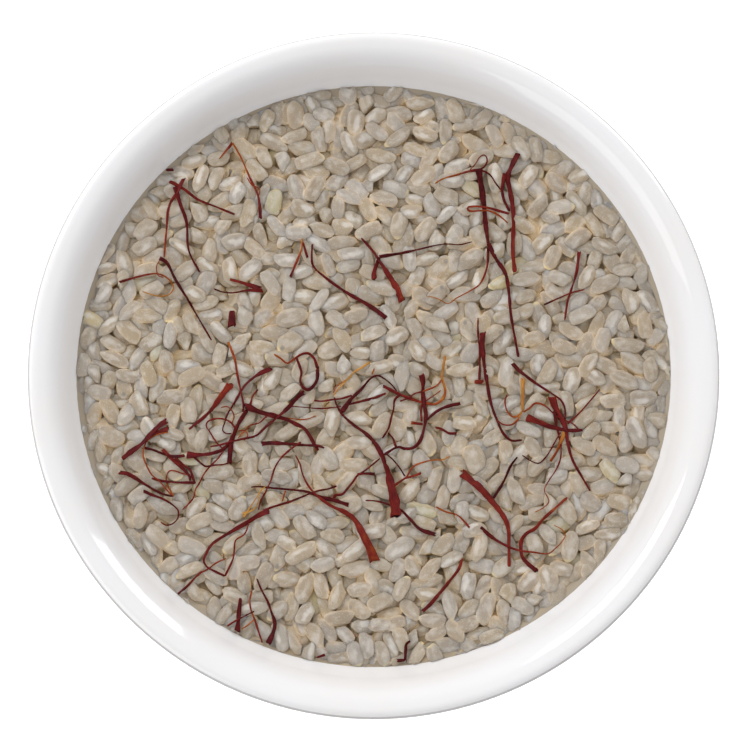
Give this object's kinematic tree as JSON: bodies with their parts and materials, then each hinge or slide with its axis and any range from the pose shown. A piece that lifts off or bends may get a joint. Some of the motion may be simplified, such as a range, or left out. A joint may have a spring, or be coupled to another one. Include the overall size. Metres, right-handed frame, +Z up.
{
  "type": "bowl of dry rice with saffron threads",
  "caption": "Small flared white bowl on a foot ring, filled with dry short-grain rice whose top is strewn with loose saffron threads.",
  "frame": {"origin": "centre of the underside of the bowl's foot ring", "axes": "+Z up, out of the bowl's mouth; +Y towards the side where the rice stands higher against the wall; +X to the right of it"},
  "size_m": [0.11, 0.11, 0.0501],
  "materials": {
    "glaze": "glossy",
    "rice": "satin",
    "saffron": "satin"
  },
  "bodies": {
    "root": {"bowl": "glaze", "rice_heap": "rice", "saffron_fork": "saffron", "saffron_twig": "saffron", "saffron_scrap_rim": "saffron", "saffron_hook": "saffron", "saffron_wand": "saffron", "saffron_clip": "saffron", "saffron_block": "saffron", "saffron_tail": "saffron", "saffron_long": "saffron", "saffron_cross": "saffron", "saffron_stem": "saffron", "saffron_lance": "saffron", "saffron_pin": "saffron", "saffron_dagger": "saffron", "saffron_mast": "saffron", "saffron_yellow_stem": "saffron", "saffron_star": "saffron", "saffron_club": "saffron", "saffron_anchor": "saffron", "saffron_stick": "saffron", "saffron_wisp_mid": "saffron", "saffron_trunk": "saffron", "saffron_crook": "saffron", "saffron_splinter": "saffron", "saffron_feather": "saffron", "saffron_twist": "saffron", "saffron_bough": "saffron", "saffron_sling": "saffron", "saffron_braid": "saffron", "saffron_blade": "saffron", "saffron_slip": "saffron", "saffron_curl": "saffron", "saffron_trumpet": "saffron", "saffron_bar": "saffron", "saffron_ring": "saffron", "saffron_vine": "saffron", "saffron_horn": "saffron", "saffron_sickle": "saffron", "saffron_yellow_wisp": "saffron", "saffron_spear": "saffron", "saffron_reeds": "saffron", "saffron_rod": "saffron", "saffron_scrap_front": "saffron", "saffron_scrap_left": "saffron"}
  },
  "joints": []
}
